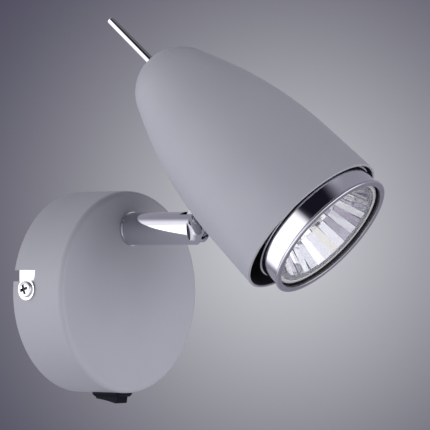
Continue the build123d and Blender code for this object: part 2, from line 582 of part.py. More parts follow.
clip_out = sleeve_in + (back_in - sleeve_in) * (lip_back - clip_z) / (lip_back - ring_back)
circlip = Pos(0, 0, clip_z) * Torus((clip_out + LAMP_R) / 2, (clip_out - LAMP_R) / 2)
circlip -= block(-CLIP_GAP / 2, CLIP_GAP / 2, -2 * LAMP_R, 0, rim_low - 2, GLASS_FRONT + 2)
keep("lamp_circlip", LAMP, circlip)

os.makedirs("parts", exist_ok=True)
for name, solids in nodes.items():
    piece = Compound(children=solids) if len(solids) > 1 else solids[0]
    export_step(piece, os.path.join("parts", name + ".step"))
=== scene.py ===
import math

import bmesh
import bpy
from mathutils import Matrix, Vector


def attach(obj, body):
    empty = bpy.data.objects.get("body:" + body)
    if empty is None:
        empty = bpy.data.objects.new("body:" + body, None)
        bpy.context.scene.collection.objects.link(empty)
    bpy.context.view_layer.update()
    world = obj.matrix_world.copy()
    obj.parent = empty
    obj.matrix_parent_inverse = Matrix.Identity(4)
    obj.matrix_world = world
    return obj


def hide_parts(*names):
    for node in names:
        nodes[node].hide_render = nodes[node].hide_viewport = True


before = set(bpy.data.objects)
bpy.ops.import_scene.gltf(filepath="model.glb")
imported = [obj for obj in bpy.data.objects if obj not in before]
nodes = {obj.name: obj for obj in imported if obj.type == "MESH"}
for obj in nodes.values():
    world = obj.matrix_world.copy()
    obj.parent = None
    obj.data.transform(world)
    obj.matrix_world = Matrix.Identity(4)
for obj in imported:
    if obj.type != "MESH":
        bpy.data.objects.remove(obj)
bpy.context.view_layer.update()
MM = 0.001

# Camera: a long lens to the left of the lamp and level with it, looking a little upwards,
# so that the cup's rim, the arm and the lit end of the shade are all in view.
VIEW_TURN = math.radians(-49.04)
VIEW_RISE = math.radians(-0.7)
LENS_MM = 313.8
SENSOR_MM = 36.0
VIEW_DISTANCE = 1.5
AIM_RIGHT = 52.91 * MM
AIM_UP = 30.69 * MM
to_right = Vector((math.cos(VIEW_TURN), math.sin(VIEW_TURN), 0))
to_camera = Vector((
    math.sin(VIEW_TURN) * math.cos(VIEW_RISE),
    -math.cos(VIEW_TURN) * math.cos(VIEW_RISE),
    math.sin(VIEW_RISE)))
to_top = to_camera.cross(to_right)
aim = to_right * AIM_RIGHT + to_top * AIM_UP
camera = bpy.data.objects.new("camera", bpy.data.cameras.new("camera"))
camera.data.lens = LENS_MM
camera.data.sensor_width = SENSOR_MM
view_axes = Matrix((to_right, to_top, to_camera)).transposed()
camera.matrix_world = Matrix.Translation(aim + to_camera * VIEW_DISTANCE) @ view_axes.to_4x4()
bpy.context.scene.collection.objects.link(camera)
bpy.context.scene.camera = camera
bpy.context.scene.view_settings.view_transform = "Standard"

# Floor: a round sheet of pale paper below the lamp, which hangs free as it would on a wall.
# It is matt and a little uneven in tone, and clear from below, so that it hides nothing.
FLOOR_RADIUS = 1.2
FLOOR_LEVEL = -0.17
FLOOR_SEGMENTS = 96
FLOOR_PALE = (0.74, 0.74, 0.76, 1)
FLOOR_WORN = (0.70, 0.70, 0.73, 1)
FLOOR_PATCH_SCALE = 6
FLOOR_ROUGHNESS = 0.8


def shader_material(name):
    """A new material and its parts: nodes, links and the one shader."""
    material = bpy.data.materials.new(name)
    material.use_nodes = True
    tree = material.node_tree
    return material, tree.nodes, tree.links, tree.nodes["Principled BSDF"]


def mesh_from(form, name):
    """The finished mesh of a form, which is then freed."""
    mesh = bpy.data.meshes.new(name)
    form.to_mesh(mesh)
    form.free()
    return mesh


def add_object(name, mesh, *finishes):
    """Puts a finished mesh in the scene as a piece at the origin, with its finishes in order."""
    for finish in finishes:
        mesh.materials.append(finish)
    piece = bpy.data.objects.new(name, mesh)
    bpy.context.scene.collection.objects.link(piece)
    return piece


floor_paper, floor_nodes, floor_links, floor_shader = shader_material("floor_paper")
floor_place = floor_nodes.new("ShaderNodeTexCoord")
floor_noise = floor_nodes.new("ShaderNodeTexNoise")
floor_noise.inputs["Scale"].default_value = FLOOR_PATCH_SCALE
floor_tone = floor_nodes.new("ShaderNodeMix")
floor_tone.data_type = "RGBA"
floor_tone.inputs["A"].default_value = FLOOR_PALE
floor_tone.inputs["B"].default_value = FLOOR_WORN
floor_links.new(floor_place.outputs["Object"], floor_noise.inputs["Vector"])
floor_links.new(floor_noise.outputs["Fac"], floor_tone.inputs["Factor"])
floor_links.new(floor_tone.outputs["Result"], floor_shader.inputs["Base Color"])
floor_shader.inputs["Roughness"].default_value = FLOOR_ROUGHNESS
floor_side = floor_nodes.new("ShaderNodeNewGeometry")
floor_clear = floor_nodes.new("ShaderNodeMath")
floor_clear.operation = "SUBTRACT"
floor_clear.inputs[0].default_value = 1
floor_links.new(floor_side.outputs["Backfacing"], floor_clear.inputs[1])
floor_links.new(floor_clear.outputs["Value"], floor_shader.inputs["Alpha"])
floor_form = bmesh.new()
bmesh.ops.create_circle(floor_form, cap_ends=True, radius=FLOOR_RADIUS, segments=FLOOR_SEGMENTS)
bmesh.ops.translate(floor_form, verts=floor_form.verts, vec=(0, 0, FLOOR_LEVEL))
floor = add_object("floor", mesh_from(floor_form, "floor"), floor_paper)
floor.visible_diffuse = False
floor.visible_glossy = False
floor.visible_transmission = False
floor.visible_shadow = False

# Room: grey walls with one soft pool of light behind the shade, as the camera sees it. Large soft
# screens at the left, in front and below light the lamp, and the side towards the camera and the
# ceiling stays dark. Polished pieces mirror white cards at the left and a paler front.
POOL_RIGHT = 0.0172
POOL_UP = -0.0059
POOL_CORE = -0.0844
POOL_WIDTH = 0.1106
SEEN_EDGE = (0.076, 0.072, 0.111, 1)
SEEN_POOL = (0.97, 0.98, 1.02, 1)
SEEN_FAR = (0.36, 0.36, 0.39, 1)
SEEN_FAR_FROM = (0.10, 0.30)
ROOM_GREY = (0.19, 0.19, 0.21, 1)
ROOM_DARK = (0.011, 0.010, 0.019, 1)
MIRROR_GREY = (0.365, 0.355, 0.425, 1)
SCREEN_TINT = (1.0, 1.0, 1.02, 1)

# Each patch of the room: its direction, how far out it is full, where it ends, and its strength.
DARK_SIDE = ((-0.64, -0.56, 0.53), 0.40, 0.95)
SCREENS = [
    ((-0.92, 0.36, -0.12), 0.30, 0.90, 1.10),
    ((-0.60, 0.66, 0.36), 0.30, 0.90, 1.26),
    ((0.00, -1.00, 0.00), 0.10, 0.50, 5.60),
    ((0.42, -0.80, -0.42), 0.20, 0.90, 0.46),
    ((-0.30, -0.20, -0.93), 0.20, 0.90, 0.71),
    ((0.75, 0.10, 0.60), 0.20, 0.90, 0.42),
]
MIRROR_DARK_SIDE = ((-0.64, -0.56, 0.53), 0.36, 0.88)
MIRROR_CARDS = [
    ((-0.96, 0.25, -0.09), 0.42, 0.66, 1.30),
    ((-0.48, 0.84, -0.26), 0.40, 0.62, 1.30),
    ((-0.69, 0.69, 0.21), 0.28, 0.72, 0.90),
    ((-0.50, -0.86, -0.09), 0.35, 0.75, 0.95),
    ((0.24, -0.91, 0.34), 0.35, 0.80, 1.15),
    ((-0.62, -0.17, -0.77), 0.40, 0.80, 0.45),
]

room = bpy.data.worlds.new("room")
bpy.context.scene.world = room
room.use_nodes = True
room_nodes = room.node_tree.nodes
room_links = room.node_tree.links
room_nodes.clear()
room_way = room_nodes.new("ShaderNodeTexCoord")


def fade_from(way, full, none, most=1.0):
    """The most within one distance of a direction, falling softly to 0 at another."""
    apart = room_nodes.new("ShaderNodeVectorMath")
    apart.operation = "DISTANCE"
    apart.inputs[1].default_value = Vector(way).normalized()
    fade = room_nodes.new("ShaderNodeMapRange")
    fade.interpolation_type = "SMOOTHSTEP"
    fade.inputs["From Min"].default_value = full
    fade.inputs["From Max"].default_value = none
    fade.inputs["To Min"].default_value = most
    fade.inputs["To Max"].default_value = 0
    room_links.new(room_way.outputs["Generated"], apart.inputs[0])
    room_links.new(apart.outputs["Value"], fade.inputs["Value"])
    return fade.outputs["Result"]


def room_mix(factor, first, second, blend="MIX"):
    """One colour laid over another; each is a colour or a socket."""
    mix = room_nodes.new("ShaderNodeMix")
    mix.data_type = "RGBA"
    mix.blend_type = blend
    mix.clamp_factor = False
    for name, value in (("Factor", factor), ("A", first), ("B", second)):
        if isinstance(value, bpy.types.NodeSocket):
            room_links.new(value, mix.inputs[name])
        else:
            mix.inputs[name].default_value = value
    return mix.outputs["Result"]


lit_room = room_mix(fade_from(*DARK_SIDE), ROOM_GREY, ROOM_DARK)
for screen in SCREENS:
    lit_room = room_mix(fade_from(*screen), lit_room, SCREEN_TINT, "ADD")
mirrored_room = room_mix(fade_from(*MIRROR_DARK_SIDE), MIRROR_GREY, ROOM_DARK)
for card in MIRROR_CARDS:
    mirrored_room = room_mix(fade_from(*card), mirrored_room, SCREEN_TINT, "ADD")
pool_way = -to_camera + to_right * POOL_RIGHT + to_top * POOL_UP
seen_pool = room_mix(fade_from(pool_way, POOL_CORE, POOL_WIDTH), SEEN_EDGE, SEEN_POOL)
seen_room = room_mix(fade_from(pool_way, *SEEN_FAR_FROM), SEEN_FAR, seen_pool)
ray_kind = room_nodes.new("ShaderNodeLightPath")
room_light = room_nodes.new("ShaderNodeBackground")
room_out = room_nodes.new("ShaderNodeOutputWorld")
part_room = room_mix(ray_kind.outputs["Is Glossy Ray"], lit_room, mirrored_room)
whole_room = room_mix(ray_kind.outputs["Is Camera Ray"], part_room, seen_room)
room_links.new(whole_room, room_light.inputs["Color"])
room_links.new(room_light.outputs["Background"], room_out.inputs["Surface"])

# Wall bracket: a strip of 1.2 mm steel, bent up at both ends and zinc plated.
# Two slotted holes take the wall screws and the middle one lets the house cable through.
ZINC = ((0.76, 0.77, 0.79, 1), (0.60, 0.62, 0.65, 1))
PATCH_DETAIL = 4
PATCH_SPREAD = (0.3, 0.7)
GRAIN_DETAIL = 2


def group_sockets(tree, way, kind, *names):
    """Gives a node group its named sockets of one kind, in order."""
    for name in names:
        tree.interface.new_socket(name=name, in_out=way, socket_type=kind)


surface_tree = bpy.data.node_groups.new("surface_break", "ShaderNodeTree")
group_sockets(surface_tree, "INPUT", "NodeSocketFloat", "Patch Scale", "Grain Scale")
group_sockets(surface_tree, "OUTPUT", "NodeSocketFloat", "Patch", "Grain")
surface_in = surface_tree.nodes.new("NodeGroupInput")
surface_out = surface_tree.nodes.new("NodeGroupOutput")
surface_place = surface_tree.nodes.new("ShaderNodeTexCoord")
patch_noise = surface_tree.nodes.new("ShaderNodeTexNoise")
patch_noise.inputs["Detail"].default_value = PATCH_DETAIL
patch_spread = surface_tree.nodes.new("ShaderNodeMapRange")
patch_spread.inputs["From Min"].default_value = PATCH_SPREAD[0]
patch_spread.inputs["From Max"].default_value = PATCH_SPREAD[1]
grain_noise = surface_tree.nodes.new("ShaderNodeTexNoise")
grain_noise.inputs["Detail"].default_value = GRAIN_DETAIL
surface_tree.links.new(surface_place.outputs["Object"], patch_noise.inputs["Vector"])
surface_tree.links.new(surface_place.outputs["Object"], grain_noise.inputs["Vector"])
surface_tree.links.new(surface_in.outputs["Patch Scale"], patch_noise.inputs["Scale"])
surface_tree.links.new(surface_in.outputs["Grain Scale"], grain_noise.inputs["Scale"])
surface_tree.links.new(patch_noise.outputs["Fac"], patch_spread.inputs["Value"])
surface_tree.links.new(patch_spread.outputs["Result"], surface_out.inputs["Patch"])
surface_tree.links.new(grain_noise.outputs["Fac"], surface_out.inputs["Grain"])


def finish_material(name, colours, roughness, scales, bump, metallic=0.0):
    """A finish whose colour and gloss wander in patches, over a fine grain.

    colours and roughness are each a pair, from the clean to the worn patches. scales has the
    patches and the grain, per metre, and bump the grain's strength and its depth in mm.
    """
    material, tree_nodes, links, shader = shader_material(name)
    surface = tree_nodes.new("ShaderNodeGroup")
    surface.node_tree = surface_tree
    surface.inputs["Patch Scale"].default_value = scales[0]
    surface.inputs["Grain Scale"].default_value = scales[1]
    tone = tree_nodes.new("ShaderNodeMix")
    tone.data_type = "RGBA"
    tone.inputs["A"].default_value = colours[0]
    tone.inputs["B"].default_value = colours[1]
    gloss = tree_nodes.new("ShaderNodeMapRange")
    gloss.inputs["To Min"].default_value = roughness[0]
    gloss.inputs["To Max"].default_value = roughness[1]
    relief = tree_nodes.new("ShaderNodeBump")
    relief.inputs["Strength"].default_value = bump[0]
    relief.inputs["Distance"].default_value = bump[1] * MM
    links.new(surface.outputs["Patch"], tone.inputs["Factor"])
    links.new(surface.outputs["Patch"], gloss.inputs["Value"])
    links.new(surface.outputs["Grain"], relief.inputs["Height"])
    links.new(tone.outputs["Result"], shader.inputs["Base Color"])
    links.new(gloss.outputs["Result"], shader.inputs["Roughness"])
    links.new(relief.outputs["Normal"], shader.inputs["Normal"])
    shader.inputs["Metallic"].default_value = metallic
    return material


def dress(material, *names):
    """Gives CAD nodes their finish."""
    for name in names:
        mesh = nodes[name].data
        mesh.materials.clear()
        mesh.materials.append(material)


zinc = finish_material(
    "zinc_plate", ZINC, roughness=(0.22, 0.42), scales=(90, 1600), bump=(0.12, 0.05), metallic=1.0)
dress(zinc, "wall_bracket")

# Terminal block and earth point: a white moulded block with brass inserts and small screws,
# held on the strip by one screw, and a brass earth screw with its washer.
WHITE_MOULD = ((0.80, 0.79, 0.75, 1), (0.72, 0.70, 0.65, 1))
BRASS = ((0.78, 0.56, 0.24, 1), (0.55, 0.38, 0.16, 1))
white_mould = finish_material(
    "white_moulding", WHITE_MOULD, roughness=(0.35, 0.5), scales=(120, 2500), bump=(0.1, 0.03))
brass = finish_material(
    "turned_brass", BRASS, roughness=(0.22, 0.45), scales=(140, 2500), bump=(0.1, 0.03), metallic=1.0)
dress(white_mould, "terminal_block")
dress(brass, "terminal_inserts", "earth_washer", "earth_screw")
dress(zinc, "terminal_screws", "block_screw")

# Wall cup: deep-drawn steel with a rounded front edge, powder coated in satin silver grey.
# Two notches in the rim hook over screws in the bracket's ends.
GREY_COAT = ((0.395, 0.397, 0.448, 1), (0.375, 0.377, 0.428, 1))
grey_coat = finish_material(
    "silver_grey_coat", GREY_COAT, roughness=(0.46, 0.54), scales=(35, 1400), bump=(0.10, 0.05))
dress(grey_coat, "base_cup")

# Cup screws: two low pan-head screws with a cross recess, each on a flat washer, all zinc plated.
# They turn into the bracket's bent ends and clamp the rim at its notches.
SCREW_SEAT = 40.6
SCREW_OUT = 7.5
SCREW_RISE = 1.2
SCREW_HEAD_R = 3.3
SCREW_HEAD_H = 1.4
SCREW_CROWN_R = 1.7
SCREW_CROWN_ROUND = 4.0
SCREW_SHOULDER = 0.62
SCREW_SHOULDER_ROUND = 0.7
SCREW_EDGE = 0.12
SCREW_SHANK_R = 1.5
SCREW_SHANK_L = 7.0
SCREW_POINT = 0.3
CROSS_REACH = 2.3
CROSS_WIDTH = 1.25
CROSS_DEPTH = 1.1
CROSS_OVER = 0.4
CROSS_TAPER = 0.6
CROSS_FLANKS = (0.7, 0.3)
CROSS_TURN = math.radians(18)
BLADE_CORNERS = ((-1, -1), (1, -1), (1, 1), (-1, 1))
BLADE_FACES = ((3, 2, 1, 0), (4, 5, 6, 7), (0, 1, 5, 4), (1, 2, 6, 5), (2, 3, 7, 6), (3, 0, 4, 7))
RECESS_MARGIN = 0.02
RECESS_FLOOR = 0.1
RECESS_STEEP = 0.8
ON_AXIS = 1e-6


def rounded_outline(corners, steps=6):
    """A line of radius and height pairs, with each corner rounded to its own radius."""
    points = []
    for number, (r, z, round_r) in enumerate(corners):
        here = Vector((r, z))
        if round_r <= 0 or number in (0, len(corners) - 1):
            points.append(here)
            continue
        back = (Vector(corners[number - 1][:2]) - here).normalized()
        ahead = (Vector(corners[number + 1][:2]) - here).normalized()
        half_angle = back.angle(ahead) / 2
        start = here + back * (round_r / math.tan(half_angle))
        centre = here + (back + ahead).normalized() * (round_r / math.sin(half_angle))
        turn = (start - centre).angle_signed(here + ahead * (round_r / math.tan(half_angle)) - centre)
        for step in range(steps + 1):
            points.append(centre + Matrix.Rotation(-turn * step / steps, 2) @ (start - centre))
    return points


def turned_mesh(name, outline, place, closed=False, segments=96, smooth_angle=30.0, breaks=()):
    """A turned form: a line of radius and height pairs in mm, spun about Z and put in its place.

    Each break is the number of the point from which faces take the next material.
    """
    form = bmesh.new()
    rings = []
    for r, z in outline:
        if r < ON_AXIS:
            rings.append([form.verts.new((0, 0, z * MM))])
            continue
        ring = []
        for number in range(segments):
            angle = 2 * math.pi * number / segments
            ring.append(form.verts.new((r * MM * math.cos(angle), r * MM * math.sin(angle), z * MM)))
        rings.append(ring)
    pairs = list(zip(rings, rings[1:]))
    if closed:
        pairs.append((rings[-1], rings[0]))
    for pair_number, (one, two) in enumerate(pairs):
        for number in range(segments):
            following = (number + 1) % segments
            corner_verts = [
                one[number % len(one)], one[following % len(one)],
                two[following % len(two)], two[number % len(two)]]
            unique = list(dict.fromkeys(corner_verts))
            if len(unique) > 2:
                face = form.faces.new(unique)
                face.material_index = sum(pair_number >= point for point in breaks)
    bmesh.ops.recalc_face_normals(form, faces=form.faces)
    mesh = mesh_from(form, name)
    mesh.transform(place)
    mesh.shade_smooth()
    mesh.set_sharp_from_angle(angle=math.radians(smooth_angle))
    return mesh


def plain_mesh(source):
    """The evaluated mesh of an object, which is then removed."""
    bpy.context.view_layer.update()
    evaluated = source.evaluated_get(bpy.context.evaluated_depsgraph_get())
    mesh = bpy.data.meshes.new_from_object(evaluated)
    bpy.data.objects.remove(source)
    return mesh


def cut_mesh(blank, cutter, smooth_angle=30.0):
    """The mesh that is left of a blank after a cutter; both objects are then removed."""
    cut = blank.modifiers.new("cut", "BOOLEAN")
    cut.operation = "DIFFERENCE"
    cut.solver = "EXACT"
    cut.use_self = True
    cut.object = cutter
    mesh = plain_mesh(blank)
    bpy.data.objects.remove(cutter)
    mesh.set_sharp_from_angle(angle=math.radians(smooth_angle))
    return mesh


screw_outline = rounded_outline([
    (0, SCREW_HEAD_H, 0), (SCREW_CROWN_R, SCREW_HEAD_H, SCREW_CROWN_ROUND),
    (SCREW_HEAD_R - SCREW_EDGE, SCREW_HEAD_H * SCREW_SHOULDER, SCREW_SHOULDER_ROUND),
    (SCREW_HEAD_R, 0, SCREW_EDGE), (SCREW_SHANK_R, 0, 0),
    (SCREW_SHANK_R, SCREW_POINT - SCREW_SHANK_L, 0),
    (SCREW_SHANK_R - SCREW_POINT, -SCREW_SHANK_L, 0), (0, -SCREW_SHANK_L, 0)])
screw_blank = add_object(
    "screw_blank", turned_mesh("screw_blank", screw_outline, Matrix.Identity(4), segments=64))
blade_low = SCREW_HEAD_H - CROSS_DEPTH
blade_high = SCREW_HEAD_H + CROSS_OVER
cross_form = bmesh.new()
for quarter in (0, 1):
    blade_turn = Matrix.Rotation(math.pi / 2 * quarter, 3, "Z")
    blade_verts = []
    for z, taper in ((blade_low, CROSS_TAPER), (blade_high, 1.0)):
        reach = CROSS_REACH * taper
        half_width = CROSS_WIDTH / 2 * (CROSS_FLANKS[0] + CROSS_FLANKS[1] * taper)
        for x, y in BLADE_CORNERS:
            corner = Vector((x * reach, y * half_width, z)) * MM
            blade_verts.append(cross_form.verts.new(blade_turn @ corner))
    for face_corners in BLADE_FACES:
        cross_form.faces.new([blade_verts[number] for number in face_corners])
screw_mesh = cut_mesh(screw_blank, add_object("screw_cross", mesh_from(cross_form, "screw_cross")))
# Faces sunk in the cross are marked, and the zinc finish paints them near black: painted shade in the
# recess.
recess_shade_mark = screw_mesh.attributes.new("recess", "FLOAT", "FACE")
recess_half = CROSS_WIDTH / 2 + RECESS_MARGIN
recess_floor = blade_low + RECESS_FLOOR
for face in screw_mesh.polygons:
    x, y, z = face.center / MM
    in_cross = math.hypot(x, y) < CROSS_REACH and min(abs(x), abs(y)) < recess_half
    sunk = abs(face.normal.z) < RECESS_STEEP or z < recess_floor
    recess_shade_mark.data[face.index].value = float(in_cross and sunk and 0 < z < SCREW_HEAD_H)
screw_mesh.transform(Matrix.Rotation(CROSS_TURN, 4, "Z"))
screw_source = add_object("screw_source", screw_mesh)


def tree_math(tree, operation, first, second=None):
    """One sum in a node tree; each term is a number or a socket."""
    node = tree.nodes.new("ShaderNodeMath")
    node.operation = operation
    for number, value in enumerate((first, second)):
        if isinstance(value, bpy.types.NodeSocket):
            tree.links.new(value, node.inputs[number])
        elif value is not None:
            node.inputs[number].default_value = value
    return node.outputs["Value"]


# The two screws stand on a line through the cup, and the second is the first turned half round.
pair_tree = bpy.data.node_groups.new("opposed_pair", "GeometryNodeTree")
group_sockets(pair_tree, "INPUT", "NodeSocketObject", "Screw")
group_sockets(pair_tree, "INPUT", "NodeSocketFloat", "Seat", "Rise", "Out")
group_sockets(pair_tree, "INPUT", "NodeSocketMaterial", "Finish")
group_sockets(pair_tree, "OUTPUT", "NodeSocketGeometry", "Geometry")
pair_in = pair_tree.nodes.new("NodeGroupInput")
pair_out = pair_tree.nodes.new("NodeGroupOutput")
pair_points = pair_tree.nodes.new("GeometryNodePoints")
pair_points.inputs["Count"].default_value = 2
pair_index = pair_tree.nodes.new("GeometryNodeInputIndex")
pair_side = pair_tree.nodes.new("ShaderNodeMapRange")
pair_side.inputs["To Min"].default_value = -1
pair_side.inputs["To Max"].default_value = 1
pair_tree.links.new(pair_index.outputs["Index"], pair_side.inputs["Value"])
this_side = pair_side.outputs["Result"]
pair_x = tree_math(pair_tree, "MULTIPLY", this_side, pair_in.outputs["Seat"])
pair_y = tree_math(pair_tree, "MULTIPLY", pair_in.outputs["Out"], -1)
other_side = tree_math(pair_tree, "MULTIPLY", this_side, -1)
pair_z = tree_math(pair_tree, "MULTIPLY", other_side, pair_in.outputs["Rise"])
pair_turn = tree_math(pair_tree, "MULTIPLY", this_side, math.pi / 2)
pair_place = pair_tree.nodes.new("ShaderNodeCombineXYZ")
pair_spin = pair_tree.nodes.new("ShaderNodeCombineXYZ")
pair_move = pair_tree.nodes.new("GeometryNodeSetPosition")
pair_screw = pair_tree.nodes.new("GeometryNodeObjectInfo")
pair_copies = pair_tree.nodes.new("GeometryNodeInstanceOnPoints")
pair_real = pair_tree.nodes.new("GeometryNodeRealizeInstances")
pair_finish = pair_tree.nodes.new("GeometryNodeSetMaterial")
pair_tree.links.new(pair_x, pair_place.inputs["X"])
pair_tree.links.new(pair_y, pair_place.inputs["Y"])
pair_tree.links.new(pair_z, pair_place.inputs["Z"])
pair_tree.links.new(pair_points.outputs["Points"], pair_move.inputs["Geometry"])
pair_tree.links.new(pair_place.outputs["Vector"], pair_move.inputs["Position"])
pair_tree.links.new(pair_turn, pair_spin.inputs["Y"])
pair_tree.links.new(pair_move.outputs["Geometry"], pair_copies.inputs["Points"])
pair_tree.links.new(pair_in.outputs["Screw"], pair_screw.inputs["Object"])
pair_tree.links.new(pair_screw.outputs["Geometry"], pair_copies.inputs["Instance"])
pair_tree.links.new(pair_spin.outputs["Vector"], pair_copies.inputs["Rotation"])
pair_tree.links.new(pair_copies.outputs["Instances"], pair_real.inputs["Geometry"])
pair_tree.links.new(pair_real.outputs["Geometry"], pair_finish.inputs["Geometry"])
pair_tree.links.new(pair_in.outputs["Finish"], pair_finish.inputs["Material"])
pair_tree.links.new(pair_finish.outputs["Geometry"], pair_out.inputs["Geometry"])


def grown_mesh(name, tree, values):
    """The plain mesh that a tree makes from its named inputs."""
    holder = add_object(name + "_source", bpy.data.meshes.new(name + "_source"))
    modifier = holder.modifiers.new("form", "NODES")
    modifier.node_group = tree
    sockets = {s.name: s.identifier for s in tree.interface.items_tree if s.in_out == "INPUT"}
    for key, value in values.items():
        modifier[sockets[key]] = value
    mesh = plain_mesh(holder)
    mesh.name = name
    return mesh


BRIGHT_ZINC = ((0.70, 0.705, 0.72, 1), (0.60, 0.605, 0.62, 1))
# The near-black tone below is painted shade, laid on the faces inside each cross recess.
RECESS_SHADE = (0.03, 0.03, 0.035, 1)
bright_zinc = finish_material(
    "bright_zinc", BRIGHT_ZINC, roughness=(0.12, 0.26), scales=(200, 2500),
    bump=(0.08, 0.03), metallic=1.0)
zinc_nodes = bright_zinc.node_tree.nodes
zinc_base = zinc_nodes["Principled BSDF"].inputs["Base Color"]
recess_shade_value = zinc_nodes.new("ShaderNodeAttribute")
recess_shade_value.attribute_name = "recess"
recess_shade_tone = zinc_nodes.new("ShaderNodeMix")
recess_shade_tone.data_type = "RGBA"
recess_shade_tone.inputs["B"].default_value = RECESS_SHADE
bright_zinc.node_tree.links.new(recess_shade_value.outputs["Fac"], recess_shade_tone.inputs["Factor"])
bright_zinc.node_tree.links.new(zinc_base.links[0].from_socket, recess_shade_tone.inputs["A"])
bright_zinc.node_tree.links.new(recess_shade_tone.outputs["Result"], zinc_base)
pair_mesh = grown_mesh("cup_screw_pair", pair_tree, {
    "Screw": screw_source, "Seat": SCREW_SEAT * MM, "Rise": SCREW_RISE * MM, "Out": SCREW_OUT * MM,
    "Finish": bright_zinc})
cup_screws = add_object("cup_screw_pair", pair_mesh)
bpy.data.objects.remove(screw_source)
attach(cup_screws, "base")
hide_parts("cup_screws")
dress(bright_zinc, "cup_washers")

# Rocker switch: a black nylon body pressed through the rim, with a rocker on two trunnions
# and two brass blades for its leads at the back.
BLACK_NYLON = ((0.006, 0.006, 0.011, 1), (0.010, 0.010, 0.017, 1))
NYLON_SHINE = 0.03
black_nylon = finish_material(
    "black_nylon", BLACK_NYLON, roughness=(0.24, 0.40), scales=(160, 3000), bump=(0.25, 0.05))
black_nylon.node_tree.nodes["Principled BSDF"].inputs["Specular IOR Level"].default_value = NYLON_SHINE
dress(black_nylon, "switch_body", "switch_rocker")
dress(brass, "switch_terminals")

# Arm: a turned rod with a slotted, domed end that has two small milled flats, polished and
# chrome plated. It stands on a thin washer, and a hollow thread, washers and a nut hold it to the
# cup so that it swivels.
ARM_RISE = 25.0
ARM_TURN = math.radians(15)
CUP_DEPTH = 26.0
ARM_REACH = 32.5
ARM_R = 6.5
ARM_FOOT = 1.0
ARM_FOOT_BEVEL = 0.35
ARM_BORE = 3.2
ARM_BORE_TOP = 28.9
THREAD_R = 5.0
THREAD_TOP = 9.0
DOME_FOOT = 34.8
DOME_H = 4.2
DOME_STEPS = 16
FLAT_FOOT = 34.9
FLAT_HALF = 5.4
MILLED_NEAR = 0.02
MILLED_SQUARE = 0.9
FORK_SLOT = 4.2
FORK_DEPTH = 7.2
ARM_SMOOTH_ANGLE = 12.0
HINGE_PIN_R = 1.5
HINGE_PIN_HALF = 6.2
HINGE_PIN_GAP = 0.02
CHROME = ((0.66, 0.66, 0.695, 1), (0.62, 0.62, 0.655, 1))
# The dull chrome is rough, and its dark tone is painted shade: it darkens the inside of the front ring
# and the steps at the foot of the arm's flats.
DULL_SHADED_CHROME = ((0.16, 0.16, 0.175, 1), (0.10, 0.10, 0.11, 1))
SATIN_CHROME = ((0.46, 0.46, 0.50, 1), (0.40, 0.40, 0.44, 1))
SPRING = ((0.46, 0.46, 0.48, 1), (0.33, 0.33, 0.36, 1))
chrome = finish_material(
    "polished_chrome", CHROME, roughness=(0.03, 0.07), scales=(70, 900), bump=(0.008, 0.02), metallic=1.0)
dull_shaded_chrome = finish_material(
    "dull_chrome_painted_shade", DULL_SHADED_CHROME, roughness=(0.38, 0.55), scales=(120, 1500),
    bump=(0.10, 0.03), metallic=1.0)
satin_chrome = finish_material(
    "satin_chrome", SATIN_CHROME, roughness=(0.24, 0.34), scales=(140, 1800),
    bump=(0.04, 0.03), metallic=1.0)
spring = finish_material(
    "spring_steel", SPRING, roughness=(0.25, 0.42), scales=(150, 2500), bump=(0.1, 0.03), metallic=1.0)
dress(chrome, "arm_washer")
dress(zinc, "arm_nipple", "arm_plain_washer", "arm_nut")
dress(spring, "arm_spring_washer")
wall_frame = Matrix(((1, 0, 0, 0), (0, 0, -1, 0), (0, 1, 0, 0), (0, 0, 0, 1)))
arm_root = wall_frame @ Matrix.Translation(Vector((0, ARM_RISE, CUP_DEPTH)) * MM)
arm_frame = arm_root @ Matrix.Rotation(ARM_TURN, 4, "Z")
arm_outline = [
    (0, ARM_BORE_TOP), (ARM_BORE, ARM_BORE_TOP), (ARM_BORE, THREAD_TOP), (THREAD_R, THREAD_TOP),
    (THREAD_R, ARM_FOOT), (ARM_R - ARM_FOOT_BEVEL, ARM_FOOT), (ARM_R, ARM_FOOT + ARM_FOOT_BEVEL)]
for step in range(DOME_STEPS + 1):
    angle = math.pi / 2 * step / DOME_STEPS
    dome_r = ARM_R * math.cos(angle) * (step < DOME_STEPS)
    arm_outline.append((dome_r, DOME_FOOT + DOME_H * math.sin(angle)))
blank_mesh = turned_mesh("arm_blank", arm_outline, Matrix.Identity(4), segments=192)
arm_blank = add_object("arm_blank", blank_mesh, chrome, dull_shaded_chrome, satin_chrome)
sideways = Matrix.Translation((0, 0, ARM_REACH * MM)) @ Matrix.Rotation(math.pi / 2, 4, "Y")
fork_form = bmesh.new()
for radius, half in ((FORK_DEPTH, FORK_SLOT / 2), (HINGE_PIN_R, HINGE_PIN_HALF)):
    bmesh.ops.create_cone(
        fork_form, cap_ends=True, segments=96, radius1=radius * MM, radius2=radius * MM,
        depth=2 * half * MM, matrix=sideways)
slot_size = Matrix.Diagonal((FORK_SLOT * MM, 2 * FORK_DEPTH * MM, 2 * FORK_DEPTH * MM, 1))
bmesh.ops.create_cube(
    fork_form, size=1, matrix=Matrix.Translation((0, 0, (ARM_REACH + FORK_DEPTH) * MM)) @ slot_size)
flat_size = Matrix.Diagonal((ARM_R * MM, 4 * ARM_R * MM, 2 * FORK_DEPTH * MM, 1))
for side in (-1, 1):
    flat_spot = Vector((side * (FLAT_HALF + ARM_R / 2), 0, FLAT_FOOT + FORK_DEPTH)) * MM
    bmesh.ops.create_cube(fork_form, size=1, matrix=Matrix.Translation(flat_spot) @ flat_size)
fork = add_object("arm_fork", mesh_from(fork_form, "arm_fork"))
arm_mesh = cut_mesh(arm_blank, fork, ARM_SMOOTH_ANGLE)
